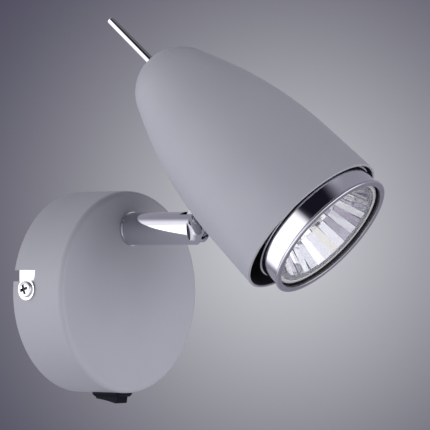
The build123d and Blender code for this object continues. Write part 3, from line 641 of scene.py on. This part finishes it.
# The steps at the foot of the flats take the dark dull chrome, a painted shade line at the dome's foot,
# and the flats take satin chrome.
for face in arm_mesh.polygons:
    x, y, z = face.center / MM
    shaded_step = abs(z - FLAT_FOOT) < MILLED_NEAR and face.normal.z > MILLED_SQUARE
    at_flat = abs(abs(x) - FLAT_HALF) < MILLED_NEAR and abs(face.normal.x) > MILLED_SQUARE
    face.material_index = 1 if shaded_step else 2 if at_flat else 0
arm_mesh.transform(arm_frame)
arm_rod = add_object("arm_rod", arm_mesh)
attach(arm_rod, "arm")
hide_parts("arm")
rivet_r = HINGE_PIN_R - HINGE_PIN_GAP
rivet_half = HINGE_PIN_HALF - HINGE_PIN_GAP
hinge_outline = [(0, -rivet_half), (rivet_r, -rivet_half), (rivet_r, rivet_half), (0, rivet_half)]
hinge_mesh = turned_mesh("hinge_rivet", hinge_outline, arm_frame @ sideways, segments=48)
hinge_rivet = add_object("hinge_rivet", hinge_mesh, chrome)
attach(hinge_rivet, "arm")
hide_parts("hinge_pin")

# Knuckle link: a chrome tongue pinned between the arm's cheeks, with a hollow stud into the shade,
# held there by a saddle washer and a nut.
dress(satin_chrome, "link")
dress(spring, "friction_washers")
dress(zinc, "link_washer", "link_nut")

# Shade: a spun aluminium bullet, powder coated outside like the cup and near black inside.
# Its mouth has a small rounded edge, and its nose takes the tail pin.
HEAD_TILT = math.radians(45)
AXIS_OFFSET = 43.0
HINGE_BACK = 42.5
SHADE_R = 31.9
SHADE_LENGTH = 94.0
SHADE_WALL = 1.0
SHADE_TAIL = 43.5
SHADE_BLEND = 158.0
FRONT_SLOPE = math.radians(2.8)
TAIL_SLOPE = math.radians(21.7)
MOUTH_ROUND = 0.42
NOSE_SPARE = 1e-4
SHADE_STEPS = 20
DARK_INSIDE = ((0.012, 0.012, 0.014, 1), (0.020, 0.020, 0.023, 1))
hinge_frame = arm_frame @ Matrix.Translation((0, 0, ARM_REACH * MM)) @ Matrix.Rotation(HEAD_TILT, 4, "X")
head_frame = hinge_frame @ Matrix.Translation(Vector((0, AXIS_OFFSET, HINGE_BACK)) * MM)
shade_back = SHADE_LENGTH - SHADE_TAIL
nose_corner = SHADE_R - shade_back * math.tan(FRONT_SLOPE) - SHADE_TAIL * math.tan(TAIL_SLOPE)
nose_r = nose_corner * math.cos(TAIL_SLOPE) / (1 - math.sin(TAIL_SLOPE))


def shade_line(inset):
    """The corners of the shade's wall, from the mouth to the nose, this far in from the outside."""
    mouth = SHADE_R - inset / math.cos(FRONT_SLOPE)
    slope = math.tan(TAIL_SLOPE) - math.tan(FRONT_SLOPE)
    back = shade_back - inset * (1 / math.cos(TAIL_SLOPE) - 1 / math.cos(FRONT_SLOPE)) / slope
    end_r = (nose_r - inset) * (1 - math.sin(TAIL_SLOPE)) / math.cos(TAIL_SLOPE)
    end = inset - SHADE_LENGTH
    return [
        (mouth, 0, MOUTH_ROUND), (mouth - back * math.tan(FRONT_SLOPE), -back, SHADE_BLEND - inset),
        (end_r, end, nose_r - inset - NOSE_SPARE), (0, end, 0)]


mouth_middle = (SHADE_R - SHADE_WALL / 2, 0, 0)
outside_points = rounded_outline([mouth_middle] + shade_line(0), SHADE_STEPS)
inside_points = rounded_outline([mouth_middle] + shade_line(SHADE_WALL), SHADE_STEPS)
shade_outline = list(reversed(outside_points)) + inside_points[1:]
shade_breaks = [len(outside_points) + SHADE_STEPS]
shade_mesh = turned_mesh("shade_bullet", shade_outline, head_frame, segments=192, breaks=shade_breaks)
dark_inside = finish_material(
    "matt_dark_inside", DARK_INSIDE, roughness=(0.6, 0.75), scales=(60, 1500), bump=(0.15, 0.05))
shade = add_object("shade_bullet", shade_mesh, grey_coat, dark_inside)
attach(shade, "head")
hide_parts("shade")

# Tail pin: a polished chrome rod with a rounded end, screwed through the shade's nose. Its nut
# inside also clamps the strap of the lampholder.
PIN_R = 1.6
PIN_LENGTH = 25.0
PIN_END_ROUND = 0.8
PIN_SET_IN = 0.25
pin_foot = PIN_SET_IN - SHADE_LENGTH
pin_end = -SHADE_LENGTH - PIN_LENGTH
pin_outline = rounded_outline([
    (0, pin_foot, 0), (PIN_R, pin_foot, 0), (PIN_R, pin_end, PIN_END_ROUND), (0, pin_end, 0)])
pin_mesh = turned_mesh("tail_rod", pin_outline, head_frame, segments=48)
tail_rod = add_object("tail_rod", pin_mesh, chrome)
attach(tail_rod, "head")
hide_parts("tail_pin")

# Flag: a small dark card of the studio's, above the tail pin, which shows only in reflections. It
# gives the pin the dark edge that a round rod has beside a bright screen.
FLAG_TONE = (0.135, 0.135, 0.15, 1)
FLAG_SIZE = 62.0
FLAG_OFF = 40.0
FLAG_WAY = Vector((0.50, -0.21, 0.84)).normalized()
pin_middle = head_frame @ Vector((0, 0, -(SHADE_LENGTH + PIN_LENGTH / 2) * MM))
flag_place = Matrix.Translation(pin_middle + FLAG_WAY * FLAG_OFF * MM)
flag_turn = FLAG_WAY.to_track_quat("Z", "Y").to_matrix().to_4x4()
flag_form = bmesh.new()
bmesh.ops.create_grid(
    flag_form, x_segments=1, y_segments=1, size=FLAG_SIZE / 2 * MM, matrix=flag_place @ flag_turn)
flag_card, _, _, flag_shader = shader_material("flag_card")
flag_shader.inputs["Base Color"].default_value = (0, 0, 0, 1)
flag_shader.inputs["Emission Color"].default_value = FLAG_TONE
flag_shader.inputs["Emission Strength"].default_value = 1.0
flag = add_object("flag", mesh_from(flag_form, "flag"), flag_card)
flag.visible_camera = False
flag.visible_diffuse = False
flag.visible_transmission = False
flag.visible_shadow = False

# Holder inside the shade: a zinc plated strap on a round seat carries a white ceramic lampholder,
# with two screws and nuts, and brass contacts for the lamp's pins.
CERAMIC = ((0.82, 0.80, 0.75, 1), (0.74, 0.72, 0.66, 1))
ceramic = finish_material(
    "white_ceramic", CERAMIC, roughness=(0.45, 0.65), scales=(110, 1800), bump=(0.3, 0.05))
dress(zinc, "tail_seat", "holder_bracket", "tail_nut", "holder_screws", "holder_nuts", "lamp_pins")
dress(ceramic, "lampholder", "lamp_base")
dress(brass, "holder_contacts")

# Lamp reflector: a pressed glass bowl with a flat rim, silvered inside on long flat facets.
# A cement plug holds the burner in its neck.
LAMP_LEAN = math.radians(2)
RING_PROUD = 9.07
GLASS_RECESS = 2.0
LAMP_R = 25.0
RIM_T = 3.0
RIM_UP = 0.1
RIM_ROUND = 0.35
RIM_LEAN = 0.1
RIM_INNER_ROUND = 0.25
GLASS_R = 23.4
GLASS_T = 1.2
NECK_R = 10.6
NECK_ROUND = 1.0
BOWL_H = 28.0
BOWL_SHOULDER_R = 23.6
BOWL_SHOULDER_ROUND = 0.6
BOWL_STEPS = 12
BOWL_CORNER_STEPS = 4
FACET_COLUMNS = 36
FACET_ROWS = 3
FACET_RIM_R = 21.1
FACET_NECK_R = 6.6
FACET_RISE = 23.5
FACET_POWER = 1.46
FACET_LEAN = math.radians(4.0)
FACET_LEAN_SEED = 23
FACET_TINT_SEED = 3
# Facets in the lowest share of the bowl, round the burner, are lifted to the warm end of the silver
# tints: a painted reflection of the cream burner.
NECK_SHARE = 0.2
WARM_GLINT = 0.96
nose_centre = head_frame @ Matrix.Translation((0, 0, (nose_r - SHADE_LENGTH) * MM))
lamp_frame = nose_centre @ Matrix.Rotation(-LAMP_LEAN, 4, "X")
ring_front = SHADE_LENGTH - nose_r + RING_PROUD
glass_front = ring_front - GLASS_RECESS
neck = glass_front - BOWL_H
facet_low = glass_front - GLASS_T - FACET_RISE

facet_tree = bpy.data.node_groups.new("facet_bowl", "GeometryNodeTree")
group_sockets(facet_tree, "INPUT", "NodeSocketInt", "Columns", "Rows")
group_sockets(
    facet_tree, "INPUT", "NodeSocketFloat", "Neck Radius", "Rim Radius", "Rise", "Power", "Lean")
group_sockets(facet_tree, "INPUT", "NodeSocketMaterial", "Finish")
group_sockets(facet_tree, "OUTPUT", "NodeSocketGeometry", "Geometry")
facet_in = facet_tree.nodes.new("NodeGroupInput")
facet_out = facet_tree.nodes.new("NodeGroupOutput")


def facet_math(operation, first, second=None):
    """One sum of the facet rule."""
    return tree_math(facet_tree, operation, first, second)


def per_facet(value):
    """A direction or place that is the same all over each facet."""
    node = facet_tree.nodes.new("GeometryNodeFieldOnDomain")
    node.domain = "FACE"
    node.data_type = "FLOAT_VECTOR"
    facet_tree.links.new(value, node.inputs[0])
    return node.outputs[0]


# The facets start as a flat grid, 1 across and centred: X goes round the bowl, Y from neck to rim.
facet_grid = facet_tree.nodes.new("GeometryNodeMeshGrid")
facet_tree.links.new(facet_math("ADD", facet_in.outputs["Columns"], 1), facet_grid.inputs["Vertices X"])
facet_tree.links.new(facet_math("ADD", facet_in.outputs["Rows"], 1), facet_grid.inputs["Vertices Y"])
facet_spot = facet_tree.nodes.new("GeometryNodeInputPosition")
facet_split = facet_tree.nodes.new("ShaderNodeSeparateXYZ")
facet_tree.links.new(facet_spot.outputs["Position"], facet_split.inputs["Vector"])
facet_turn = facet_math("MULTIPLY", facet_math("ADD", facet_split.outputs["X"], 0.5), 2 * math.pi)
facet_share = facet_math("ADD", facet_split.outputs["Y"], 0.5)
facet_span = facet_math("SUBTRACT", facet_in.outputs["Rim Radius"], facet_in.outputs["Neck Radius"])
facet_radius = facet_math(
    "ADD", facet_in.outputs["Neck Radius"], facet_math("MULTIPLY", facet_span, facet_share))
facet_height = facet_math(
    "MULTIPLY", facet_in.outputs["Rise"], facet_math("POWER", facet_share, facet_in.outputs["Power"]))
facet_x = facet_math("MULTIPLY", facet_radius, facet_math("COSINE", facet_turn))
facet_y = facet_math("MULTIPLY", facet_radius, facet_math("SINE", facet_turn))
facet_place = facet_tree.nodes.new("ShaderNodeCombineXYZ")
facet_tree.links.new(facet_x, facet_place.inputs["X"])
facet_tree.links.new(facet_y, facet_place.inputs["Y"])
facet_tree.links.new(facet_height, facet_place.inputs["Z"])
facet_move = facet_tree.nodes.new("GeometryNodeSetPosition")
facet_part = facet_tree.nodes.new("GeometryNodeSplitEdges")
facet_axis = facet_tree.nodes.new("FunctionNodeRandomValue")
facet_axis.data_type = "FLOAT_VECTOR"
facet_axis.inputs["Min"].default_value = (-1, -1, -1)
facet_axis.inputs["Seed"].default_value = FACET_LEAN_SEED
facet_centre = per_facet(facet_spot.outputs["Position"])
facet_lean = facet_tree.nodes.new("ShaderNodeVectorRotate")
facet_tree.links.new(facet_spot.outputs["Position"], facet_lean.inputs["Vector"])
facet_tree.links.new(facet_centre, facet_lean.inputs["Center"])
facet_tree.links.new(per_facet(facet_axis.outputs[0]), facet_lean.inputs["Axis"])
facet_tree.links.new(facet_in.outputs["Lean"], facet_lean.inputs["Angle"])
facet_tip = facet_tree.nodes.new("GeometryNodeSetPosition")
facet_flip = facet_tree.nodes.new("GeometryNodeFlipFaces")
facet_flat = facet_tree.nodes.new("GeometryNodeSetShadeSmooth")
facet_flat.inputs["Shade Smooth"].default_value = False
facet_tint = facet_tree.nodes.new("FunctionNodeRandomValue")
facet_tint.inputs["Seed"].default_value = FACET_TINT_SEED
facet_level = facet_tree.nodes.new("ShaderNodeSeparateXYZ")
facet_tree.links.new(facet_centre, facet_level.inputs["Vector"])
facet_neck = facet_math(
    "LESS_THAN", facet_level.outputs["Z"], facet_math("MULTIPLY", facet_in.outputs["Rise"], NECK_SHARE))
facet_tint_and_glint = facet_math("MAXIMUM", facet_tint.outputs[1], facet_math("MULTIPLY", facet_neck, WARM_GLINT))
facet_store = facet_tree.nodes.new("GeometryNodeStoreNamedAttribute")
facet_store.domain = "FACE"
facet_store.inputs["Name"].default_value = "facet_tint"
facet_real = facet_tree.nodes.new("GeometryNodeRealizeInstances")
facet_finish = facet_tree.nodes.new("GeometryNodeSetMaterial")
facet_tree.links.new(facet_grid.outputs["Mesh"], facet_move.inputs["Geometry"])
facet_tree.links.new(facet_place.outputs["Vector"], facet_move.inputs["Position"])
facet_tree.links.new(facet_move.outputs["Geometry"], facet_part.inputs["Mesh"])
facet_tree.links.new(facet_part.outputs["Mesh"], facet_tip.inputs["Geometry"])
facet_tree.links.new(facet_lean.outputs["Vector"], facet_tip.inputs["Position"])
facet_tree.links.new(facet_tip.outputs["Geometry"], facet_flip.inputs["Mesh"])
facet_tree.links.new(facet_flip.outputs["Mesh"], facet_flat.inputs["Geometry"])
facet_tree.links.new(facet_flat.outputs["Geometry"], facet_store.inputs["Geometry"])
facet_tree.links.new(facet_tint_and_glint, facet_store.inputs["Value"])
facet_tree.links.new(facet_store.outputs["Geometry"], facet_real.inputs["Geometry"])
facet_tree.links.new(facet_real.outputs["Geometry"], facet_finish.inputs["Geometry"])
facet_tree.links.new(facet_in.outputs["Finish"], facet_finish.inputs["Material"])
facet_tree.links.new(facet_finish.outputs["Geometry"], facet_out.inputs["Geometry"])

# The tints run from lilac through white to a warm stop. The warm stop is a painted reflection of the
# burner, reached by the neck's facets and by a few random ones.
SILVER_TINTS_AND_GLINT = [
    (0.0, (0.48, 0.43, 0.50, 1)), (0.28, (0.76, 0.74, 0.80, 1)), (0.42, (0.97, 0.97, 0.98, 1)),
    (0.84, (0.98, 0.97, 0.95, 1)), (0.94, (0.98, 0.88, 0.66, 1))]
SILVER_SCALES = (260, 900)
SILVER_GLOSS = (0.03, 0.10)
SILVER_BUMP = (0.03, 0.05)
silvering, silver_nodes, silver_links, silver_shader = shader_material("silvered_facets")
tint_value = silver_nodes.new("ShaderNodeAttribute")
tint_value.attribute_name = "facet_tint"
tint_ramp = silver_nodes.new("ShaderNodeValToRGB")
stops = tint_ramp.color_ramp.elements
for number, (spot, tint) in enumerate(SILVER_TINTS_AND_GLINT):
    stop = stops[number] if number < len(stops) else stops.new(spot)
    stop.position = spot
    stop.color = tint
silver_surface = silver_nodes.new("ShaderNodeGroup")
silver_surface.node_tree = surface_tree
silver_surface.inputs["Patch Scale"].default_value = SILVER_SCALES[0]
silver_surface.inputs["Grain Scale"].default_value = SILVER_SCALES[1]
silver_gloss = silver_nodes.new("ShaderNodeMapRange")
silver_gloss.inputs["To Min"].default_value = SILVER_GLOSS[0]
silver_gloss.inputs["To Max"].default_value = SILVER_GLOSS[1]
silver_relief = silver_nodes.new("ShaderNodeBump")
silver_relief.inputs["Strength"].default_value = SILVER_BUMP[0]
silver_relief.inputs["Distance"].default_value = SILVER_BUMP[1] * MM
silver_links.new(tint_value.outputs["Fac"], tint_ramp.inputs["Fac"])
silver_links.new(tint_ramp.outputs["Color"], silver_shader.inputs["Base Color"])
silver_links.new(silver_surface.outputs["Patch"], silver_gloss.inputs["Value"])
silver_links.new(silver_gloss.outputs["Result"], silver_shader.inputs["Roughness"])
silver_links.new(silver_surface.outputs["Grain"], silver_relief.inputs["Height"])
silver_links.new(silver_relief.outputs["Normal"], silver_shader.inputs["Normal"])
silver_shader.inputs["Metallic"].default_value = 1.0
facet_mesh = grown_mesh("reflector_facets", facet_tree, {
    "Columns": FACET_COLUMNS, "Rows": FACET_ROWS, "Neck Radius": FACET_NECK_R * MM,
    "Rim Radius": FACET_RIM_R * MM, "Rise": FACET_RISE * MM, "Power": FACET_POWER, "Lean": FACET_LEAN,
    "Finish": silvering})
facet_mesh.transform(lamp_frame @ Matrix.Translation((0, 0, facet_low * MM)))
facets = add_object("reflector_facets", facet_mesh)
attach(facets, "head")
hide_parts("lamp_reflector")

# The glass bowl lies close behind the silvering. Its back, from the shoulder to the neck, is given
# as radius, height above the neck's end, and rounding.
BOWL_BACK = [(22.6, 21.5, 20), (20.4, 15.0, 30), (17.2, 8.6, 20), (13.4, 3.2, 8)]
SILVER_BACK = 0.45
RIM_GLASS = ((0.66, 0.66, 0.68, 1), (0.56, 0.56, 0.59, 1))
rim_glass = finish_material(
    "pressed_rim_glass", RIM_GLASS, roughness=(0.12, 0.26), scales=(150, 700), bump=(0.10, 0.06))
bowl_inside = []
for step in range(BOWL_STEPS + 1):
    share = 1 - step / BOWL_STEPS
    bowl_inside.append(Vector((
        FACET_NECK_R + (FACET_RIM_R - FACET_NECK_R) * share + SILVER_BACK,
        facet_low + FACET_RISE * share ** FACET_POWER - SILVER_BACK * (1 - share))))
bowl_corners = [
    (FACET_RIM_R + SILVER_BACK, glass_front - GLASS_T, 0), (GLASS_R, glass_front - GLASS_T, 0),
    (GLASS_R + RIM_LEAN, glass_front + RIM_UP, RIM_INNER_ROUND),
    (LAMP_R, glass_front + RIM_UP, RIM_ROUND), (LAMP_R, glass_front - RIM_T, RIM_ROUND),
    (BOWL_SHOULDER_R, glass_front - RIM_T, BOWL_SHOULDER_ROUND)]
bowl_corners += [(r, neck + up, round_r) for r, up, round_r in BOWL_BACK]
bowl_corners += [(NECK_R, neck, NECK_ROUND), (FACET_NECK_R + SILVER_BACK, neck, 0)]
bowl_outline = list(reversed(bowl_inside)) + rounded_outline(bowl_corners, BOWL_CORNER_STEPS)[1:]
bowl_mesh = turned_mesh("reflector_bowl", bowl_outline, lamp_frame, closed=True, segments=128)
bowl = add_object("reflector_bowl", bowl_mesh, rim_glass)
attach(bowl, "head")
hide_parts("lamp_reflector")

# Burner: a quartz capsule with a tapered tip, set in cream cement, with a coiled tungsten filament.
# The front glass is a plain disc set into the rim.
CEMENT = ((0.78, 0.70, 0.50, 1), (0.66, 0.57, 0.38, 1))
CEMENT_CROWN = 0.5
CEMENT_CROWN_IN = 0.7
CEMENT_CROWN_ROUND = 0.5
CEMENT_EDGE_ROUND = 0.1
CEMENT_GAP = 0.05
CEMENT_FOOT = 0.2
cement_finish = finish_material(
    "cream_cement", CEMENT, roughness=(0.7, 0.9), scales=(300, 2500), bump=(0.5, 0.08))
cement_r = FACET_NECK_R - CEMENT_GAP
cement_top = facet_low + CEMENT_CROWN
cement_foot = neck + CEMENT_FOOT
cement_outline = rounded_outline([
    (0, cement_top, 0), (FACET_NECK_R - CEMENT_CROWN_IN, cement_top, CEMENT_CROWN_ROUND),
    (cement_r, facet_low, CEMENT_EDGE_ROUND), (cement_r, cement_foot, 0), (0, cement_foot, 0)])
cement_mesh = turned_mesh("cement_plug", cement_outline, lamp_frame, segments=64)
cement = add_object("cement_plug", cement_mesh, cement_finish)
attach(cement, "head")

CAPSULE_R = 4.2
CAPSULE_WALL = 0.8
CAPSULE_H = 19.0
CAPSULE_FOOT = 0.6
CAPSULE_SHOULDER = 2.2
CAPSULE_SHOULDER_ROUND = 2.4
CAPSULE_ROOF = 2.4
CAPSULE_INNER_SHOULDER = 2.8
CAPSULE_INNER_ROUND = 1.8
TIP_R = 0.9
TIP_ROUND = 0.5
TIP_H = 1.2
TIP_SPREAD = 0.4
TIP_FOOT_ROUND = 0.6
QUARTZ = ((0.98, 0.96, 0.90, 1), (0.97, 0.94, 0.86, 1))
capsule_top = facet_low + CAPSULE_H
capsule_foot = facet_low + CAPSULE_FOOT
capsule_bore = CAPSULE_R - CAPSULE_WALL
capsule_outline = rounded_outline([
    (0, capsule_top, 0), (TIP_R, capsule_top, TIP_ROUND),
    (TIP_R + TIP_SPREAD, capsule_top - TIP_H, TIP_FOOT_ROUND),
    (CAPSULE_R, capsule_top - CAPSULE_SHOULDER, CAPSULE_SHOULDER_ROUND), (CAPSULE_R, capsule_foot, 0),
    (capsule_bore, capsule_foot, 0),
    (capsule_bore, capsule_top - CAPSULE_INNER_SHOULDER, CAPSULE_INNER_ROUND),
    (0, capsule_top - CAPSULE_ROOF, 0)])
capsule_mesh = turned_mesh("quartz_capsule", capsule_outline, lamp_frame, segments=64)
quartz = finish_material(
    "quartz", QUARTZ, roughness=(0.0, 0.03), scales=(60, 500), bump=(0.005, 0.02))
quartz.node_tree.nodes["Principled BSDF"].inputs["Transmission Weight"].default_value = 1.0
capsule = add_object("quartz_capsule", capsule_mesh, quartz)
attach(capsule, "head")
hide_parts("lamp_capsule")

TUNGSTEN = ((0.42, 0.40, 0.38, 1), (0.30, 0.29, 0.28, 1))
tungsten = finish_material(
    "tungsten_wire", TUNGSTEN, roughness=(0.3, 0.5), scales=(300, 4000), bump=(0.1, 0.02), metallic=1.0)
dress(tungsten, "lamp_filament")
GLASS = ((0.97, 0.98, 0.98, 1), (0.95, 0.97, 0.97, 1))
glass = finish_material(
    "clear_glass", GLASS, roughness=(0.0, 0.02), scales=(60, 500), bump=(0.004, 0.02))
glass.node_tree.nodes["Principled BSDF"].inputs["Transmission Weight"].default_value = 1.0
dress(glass, "lamp_front_glass")

# Front ring: a thin spun sleeve with a flat-faced lip in front and a fine turned hem behind, chrome
# plated, brighter outside than on the lip. A sprung wire clip holds it round the lamp's rim.
RING_LIP_R = 27.8
RING_LIP_T = 0.9
RING_LIP_FRONT_ROUND = 0.42
RING_LIP_BACK_ROUND = 0.35
RING_APERTURE_R = 25.4
RING_APERTURE_ROUND = 0.25
RING_APERTURE_DEPTH = 0.3
RING_FACE_LEAN = 0.1
RING_SLEEVE_R = 26.8
RING_SLEEVE_ROUND = 0.3
RING_BACK_R = 27.2
RING_WALL = 0.8
RING_SHOULDER = 0.4
RING_FLARE = 0.45
RING_LENGTH = 9.7
RING_HEM_R = 27.7
RING_HEM_T = 0.3
RING_HEM_ROUND = 0.12
RING_HEM_FILLET = 0.1
RING_STEPS = 8
ring_back = ring_front - RING_LENGTH
lip_back = ring_front - RING_LIP_T
hem_front = ring_back + RING_HEM_T
ring_outside = rounded_outline([
    (RING_APERTURE_R, ring_front - RING_APERTURE_DEPTH, 0),
    (RING_APERTURE_R + RING_FACE_LEAN, ring_front, RING_APERTURE_ROUND),
    (RING_LIP_R, ring_front, RING_LIP_FRONT_ROUND), (RING_LIP_R, lip_back, RING_LIP_BACK_ROUND),
    (RING_SLEEVE_R, lip_back - RING_FLARE, RING_SLEEVE_ROUND),
    (RING_BACK_R, hem_front, RING_HEM_FILLET), (RING_HEM_R, hem_front, RING_HEM_ROUND),
    (RING_HEM_R, ring_back, RING_HEM_ROUND), (RING_BACK_R - RING_WALL, ring_back, 0)], RING_STEPS)
ring_bore = RING_SLEEVE_R - RING_WALL
ring_inside = [
    Vector((ring_bore, lip_back - RING_SHOULDER)), Vector((ring_bore - RING_FACE_LEAN, lip_back)),
    Vector((RING_APERTURE_R, lip_back))]
# The corners' round stretches, counted from the aperture, part the lip's face, its front edge,
# its back and the sleeve.
ring_corner = RING_STEPS + 1
ring_breaks = [1 + ring_corner, 2 * ring_corner, 4 * ring_corner, len(ring_outside) - 1]
ring_mesh = turned_mesh(
    "front_bezel", ring_outside + ring_inside, lamp_frame, closed=True, segments=192, breaks=ring_breaks)
# The last finish, on the inside of the ring, is the dark dull chrome: painted shade in the gap between
# the ring and the lamp.
front_bezel = add_object(
    "front_bezel", ring_mesh, satin_chrome, chrome, satin_chrome, chrome, dull_shaded_chrome)
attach(front_bezel, "head")
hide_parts("front_ring")
dress(spring, "lamp_circlip")
